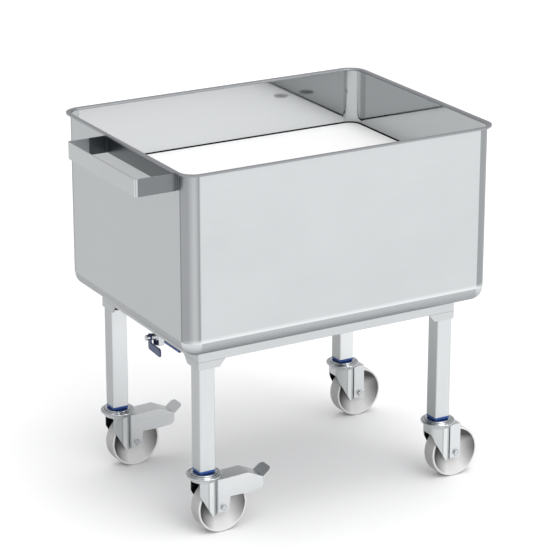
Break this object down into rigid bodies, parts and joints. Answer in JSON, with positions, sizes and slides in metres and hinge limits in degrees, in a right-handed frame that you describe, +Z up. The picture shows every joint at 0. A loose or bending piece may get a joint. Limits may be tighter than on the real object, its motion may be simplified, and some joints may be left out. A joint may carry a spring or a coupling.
{
  "type": "container trolley",
  "caption": "Deep stainless tub on a welded leg frame with swivel casters, foot brakes, a flat push handle, a lift-out false floor and a bottom drain valve.",
  "frame": {"origin": "on the ground under the middle of the outline", "axes": "+Z up, +X from the handle end to the far end, +Y to the rear long side"},
  "size_m": [0.9114, 0.618, 0.882],
  "materials": {
    "tub_steel": "fine satin",
    "board_plastic": "planed",
    "frame_steel": "fine satin",
    "pad_rubber": "matte",
    "blue_plastic": "moulded",
    "bright_steel": "polished",
    "caster_steel": "satin",
    "wheel_nylon": "cast",
    "lever_blue": "dipped",
    "seat_plastic": "turned",
    "valve_steel": "turned"
  },
  "bodies": {
    "trolley": {"tub": "tub_steel", "ledge_front": "tub_steel", "ledge_rear": "tub_steel", "handle": "tub_steel", "rail_front": "frame_steel", "rail_rear": "frame_steel", "rail_handle": "frame_steel", "rail_far": "frame_steel", "tub_pads": "pad_rubber", "gusset_handle_front": "frame_steel", "gusset_handle_rear": "frame_steel", "gusset_far_front": "frame_steel", "gusset_far_rear": "frame_steel", "leg_handle_front": "frame_steel", "leg_handle_rear": "frame_steel", "leg_far_front": "frame_steel", "leg_far_rear": "frame_steel", "plug_handle_front": "blue_plastic", "plug_handle_rear": "blue_plastic", "plug_far_front": "blue_plastic", "plug_far_rear": "blue_plastic", "race_handle_front": "bright_steel", "race_handle_rear": "bright_steel", "race_far_front": "bright_steel", "race_far_rear": "bright_steel", "drain_pipe": "valve_steel", "valve_body": "valve_steel", "valve_seats": "seat_plastic", "valve_gland": "valve_steel", "guard_strip": "blue_plastic"},
    "floor_plate": {"false_floor": "board_plastic"},
    "tap": {"valve_ball": "valve_steel", "valve_stem": "valve_steel", "valve_lever": "lever_blue"},
    "swivel_handle_front": {"fork_handle_front": "caster_steel", "axle_handle_front": "bright_steel", "brake_shoe_front": "caster_steel"},
    "roller_handle_front": {"wheel_handle_front": "wheel_nylon", "bush_handle_front": "bright_steel"},
    "pedal_front": {"brake_lever_front": "caster_steel"},
    "swivel_handle_rear": {"fork_handle_rear": "caster_steel", "axle_handle_rear": "bright_steel", "brake_shoe_rear": "caster_steel"},
    "roller_handle_rear": {"wheel_handle_rear": "wheel_nylon", "bush_handle_rear": "bright_steel"},
    "pedal_rear": {"brake_lever_rear": "caster_steel"},
    "swivel_far_front": {"fork_far_front": "caster_steel", "axle_far_front": "bright_steel", "saddle_far_front": "caster_steel"},
    "roller_far_front": {"wheel_far_front": "wheel_nylon", "bush_far_front": "bright_steel"},
    "swivel_far_rear": {"fork_far_rear": "caster_steel", "axle_far_rear": "bright_steel", "saddle_far_rear": "caster_steel"},
    "roller_far_rear": {"wheel_far_rear": "wheel_nylon", "bush_far_rear": "bright_steel"}
  },
  "joints": [
    {"name": "floor_lift", "type": "slide", "parent": "trolley", "child": "floor_plate", "axis": [0, 0, 1], "range_m": [0, 0.16]},
    {"name": "tap_turn", "type": "hinge", "parent": "trolley", "child": "tap", "pos_m": [-0.27315, 0, 0.407], "axis": [1, 0, 0], "range_deg": [0, 90]},
    {"name": "swivel_turn_handle_front", "type": "hinge", "parent": "trolley", "child": "swivel_handle_front", "pos_m": [-0.27675, -0.218, 0.14], "axis": [0, 0, 1], "continuous": true},
    {"name": "wheel_spin_handle_front", "type": "hinge", "parent": "swivel_handle_front", "child": "roller_handle_front", "pos_m": [-0.23875, -0.218, 0.0625], "axis": [0, 1, 0], "continuous": true},
    {"name": "pedal_press_front", "type": "hinge", "parent": "swivel_handle_front", "child": "pedal_front", "pos_m": [-0.23875, -0.218, 0.0625], "axis": [0, 1, 0], "range_deg": [0, 10]},
    {"name": "swivel_turn_handle_rear", "type": "hinge", "parent": "trolley", "child": "swivel_handle_rear", "pos_m": [-0.27675, 0.218, 0.14], "axis": [0, 0, 1], "continuous": true},
    {"name": "wheel_spin_handle_rear", "type": "hinge", "parent": "swivel_handle_rear", "child": "roller_handle_rear", "pos_m": [-0.23875, 0.218, 0.0625], "axis": [0, 1, 0], "continuous": true},
    {"name": "pedal_press_rear", "type": "hinge", "parent": "swivel_handle_rear", "child": "pedal_rear", "pos_m": [-0.23875, 0.218, 0.0625], "axis": [0, 1, 0], "range_deg": [0, 10]},
    {"name": "swivel_turn_far_front", "type": "hinge", "parent": "trolley", "child": "swivel_far_front", "pos_m": [0.35525, -0.218, 0.14], "axis": [0, 0, 1], "continuous": true},
    {"name": "wheel_spin_far_front", "type": "hinge", "parent": "swivel_far_front", "child": "roller_far_front", "pos_m": [0.39325, -0.218, 0.0625], "axis": [0, 1, 0], "continuous": true},
    {"name": "swivel_turn_far_rear", "type": "hinge", "parent": "trolley", "child": "swivel_far_rear", "pos_m": [0.35525, 0.218, 0.14], "axis": [0, 0, 1], "continuous": true},
    {"name": "wheel_spin_far_rear", "type": "hinge", "parent": "swivel_far_rear", "child": "roller_far_rear", "pos_m": [0.39325, 0.218, 0.0625], "axis": [0, 1, 0], "continuous": true}
  ]
}
